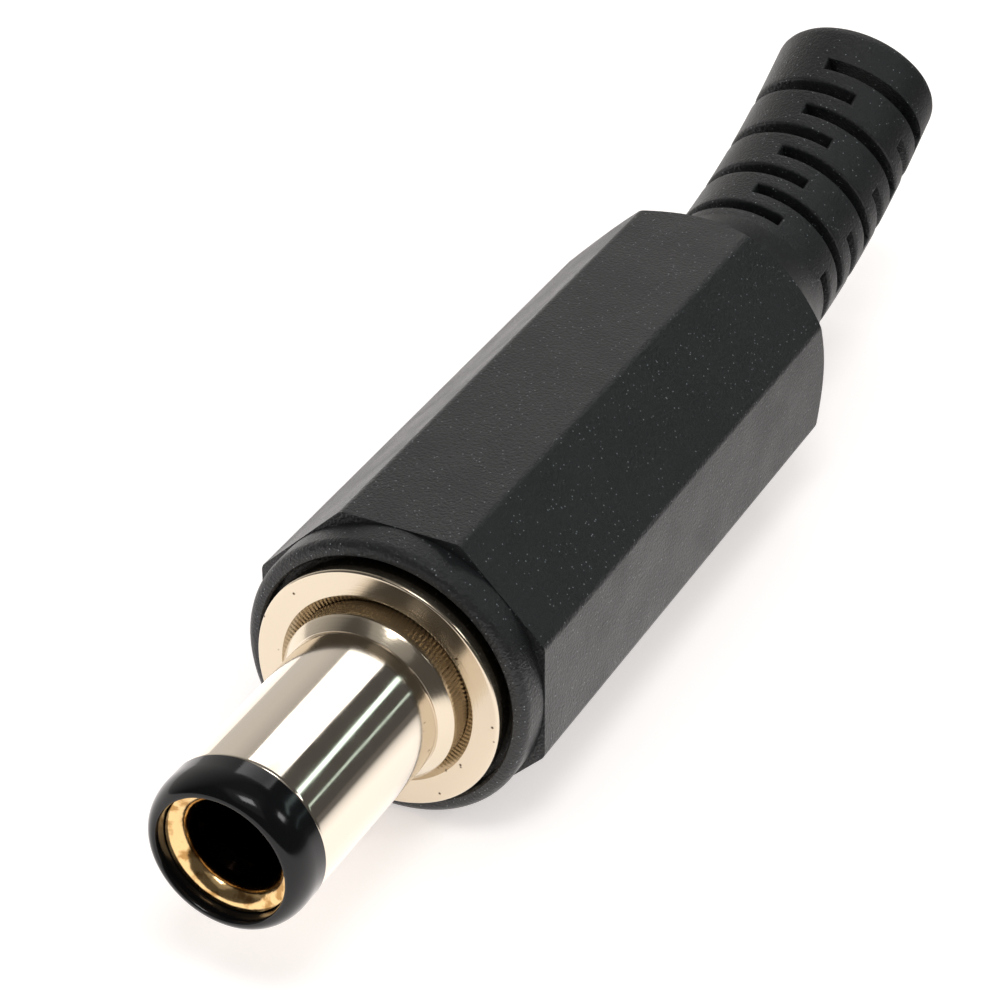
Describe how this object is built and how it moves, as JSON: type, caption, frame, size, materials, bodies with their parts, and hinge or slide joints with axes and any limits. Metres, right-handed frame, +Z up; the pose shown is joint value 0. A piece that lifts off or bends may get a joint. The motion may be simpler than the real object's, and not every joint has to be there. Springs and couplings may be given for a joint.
{
  "type": "dc barrel plug",
  "caption": "Solder-type barrel plug for a low-voltage supply lead, with an octagonal screw-on handle and slotted strain relief.",
  "frame": {"origin": "on the plug's axis, at the root of the bare barrel where it leaves its collar", "axes": "+X along the axis out of the nose, +Z up, square to the flat opposite the one that it lies on"},
  "size_m": [0.0508, 0.0104, 0.0119],
  "materials": {
    "nickel_plate": "bright nickel plate on turned brass",
    "lug_plate": "dull tin plate on stamped brass",
    "contact_brass": "thin gold flash, bright",
    "nose_plastic": "smooth moulded black",
    "laminate": "brown paper laminate",
    "handle_plastic": "fine spark-eroded texture, black"
  },
  "bodies": {
    "contacts": {"outer_contact": "nickel_plate", "threaded_bush": "nickel_plate", "nose_insulator": "nose_plastic", "centre_contact": "contact_brass", "ground_lug": "lug_plate", "rear_insulator": "laminate", "centre_lug": "lug_plate"},
    "handle": {"handle": "handle_plastic"}
  },
  "joints": [
    {"name": "handle_draw_off", "type": "slide", "parent": "contacts", "child": "handle", "axis": [-1, 0, 0], "range_m": [0, 0.03]}
  ]
}
